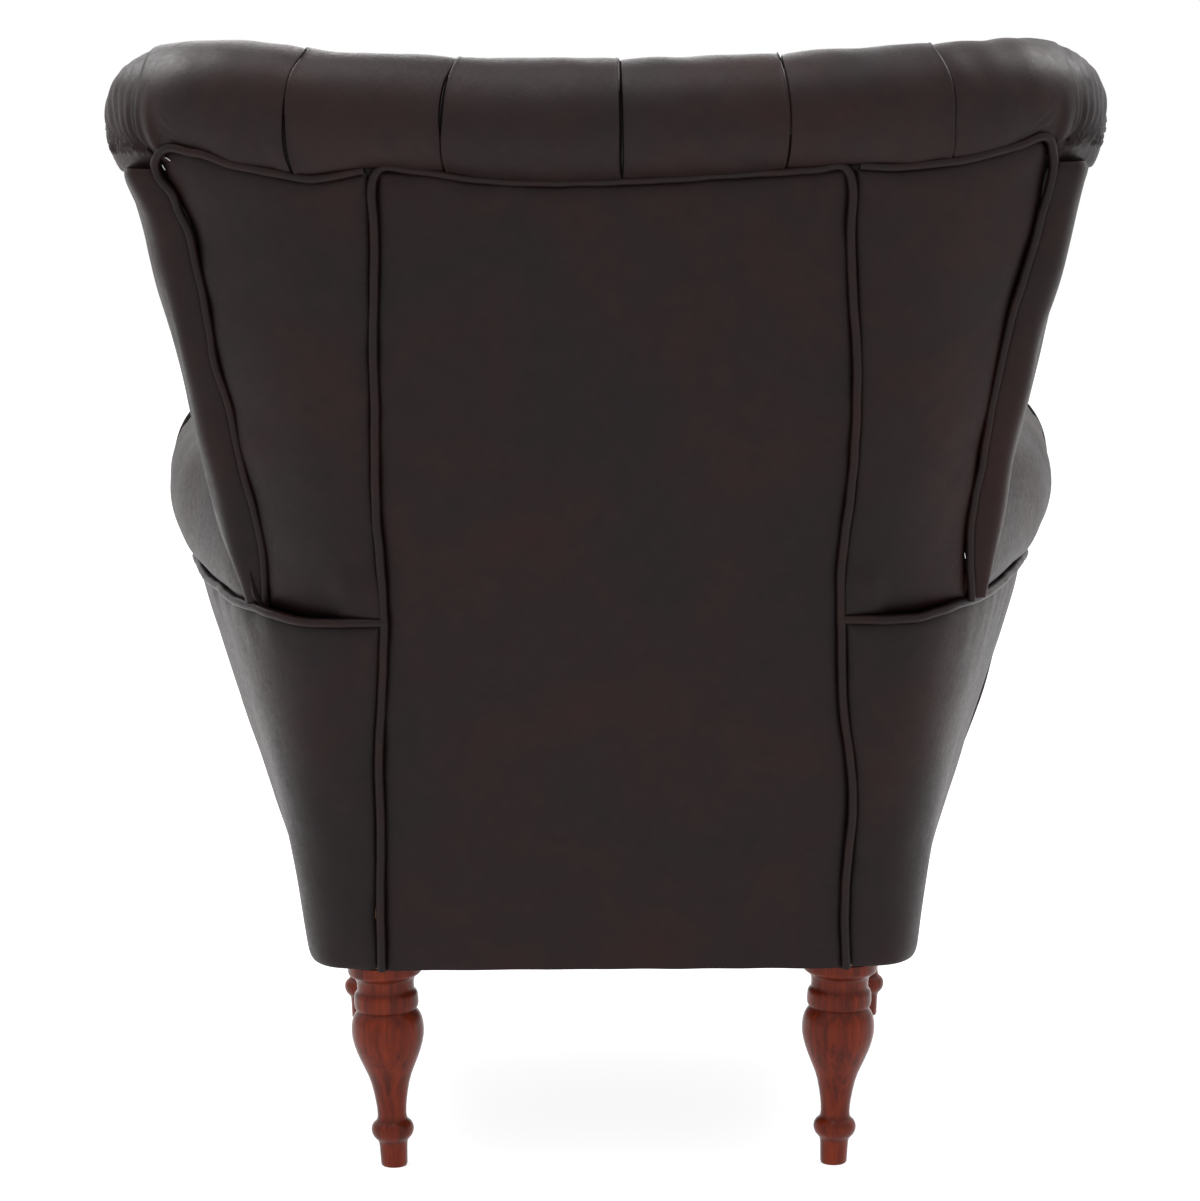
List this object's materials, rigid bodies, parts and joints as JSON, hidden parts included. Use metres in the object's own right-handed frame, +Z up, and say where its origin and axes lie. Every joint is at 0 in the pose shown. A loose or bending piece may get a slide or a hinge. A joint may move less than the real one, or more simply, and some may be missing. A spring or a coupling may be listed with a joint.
{
  "type": "bergere armchair",
  "caption": "Leather bergere armchair with a high fanned back, pleated top roll, side wings, scroll arms, turned wood legs and a loose seat cushion.",
  "frame": {"origin": "on the floor, at the middle of the chair seen from above", "axes": "+X to the sitter's left, +Y to the back of the chair, +Z up"},
  "size_m": [0.9162, 0.7838, 1.0011],
  "materials": {
    "leather": "dark espresso leather, soft satin",
    "leather_roll": "dark espresso leather, gathered",
    "leather_trim": "dark espresso leather over cord or button",
    "leg_wood": "red brown varnish, glossy",
    "frame_wood": "raw sawn hardwood",
    "cloth": "plain black lining cloth",
    "webbing": "woven webbing",
    "foam": "open cell foam",
    "steel": "zinc plated steel"
  },
  "bodies": {
    "chair": {"arm_board_left": "frame_wood", "arm_board_right": "frame_wood", "arm_facing_left": "leather", "arm_facing_right": "leather", "arm_pad_left": "leather", "arm_pad_right": "leather", "arm_rail_left": "frame_wood", "arm_rail_right": "frame_wood", "back_post_left": "frame_wood", "back_post_right": "frame_wood", "back_straps": "webbing", "back_top_rail": "frame_wood", "centre_welt_left": "leather_trim", "centre_welt_right": "leather_trim", "corner_blocks_left": "frame_wood", "corner_blocks_right": "frame_wood", "corner_stile_left": "frame_wood", "corner_stile_right": "frame_wood", "crown_welt": "leather_trim", "deck_cloth": "cloth", "deck_pad": "cloth", "dust_cover": "cloth", "front_border": "leather", "front_seat_rail": "frame_wood", "inside_back": "leather", "leg_bolts": "steel", "leg_front_left": "leg_wood", "leg_front_right": "leg_wood", "leg_rear_left": "leg_wood", "leg_rear_right": "leg_wood", "lumbar_rail": "frame_wood", "outer_welt_left": "leather_trim", "outer_welt_right": "leather_trim", "outside_arm_left": "leather", "outside_arm_right": "leather", "outside_back_centre": "leather", "outside_back_side_left": "leather", "outside_back_side_right": "leather", "rear_seat_rail": "frame_wood", "seam_rail_left": "frame_wood", "seam_rail_right": "frame_wood", "seam_welt_left": "leather_trim", "seam_welt_right": "leather_trim", "seat_straps_cross": "webbing", "seat_straps_long": "webbing", "side_seat_rail_left": "frame_wood", "side_seat_rail_right": "frame_wood", "top_roll": "leather_roll", "tuft_buttons": "leather_trim", "wing_left": "leather", "wing_post_left": "frame_wood", "wing_post_right": "frame_wood", "wing_right": "leather", "wing_top_rail_left": "frame_wood", "wing_top_rail_right": "frame_wood"},
    "seat_cushion": {"cushion_cover": "leather", "cushion_core": "foam"}
  },
  "joints": [
    {"name": "cushion_lift", "type": "slide", "parent": "chair", "child": "seat_cushion", "axis": [0, 0, 1], "range_m": [0, 0.36]}
  ]
}
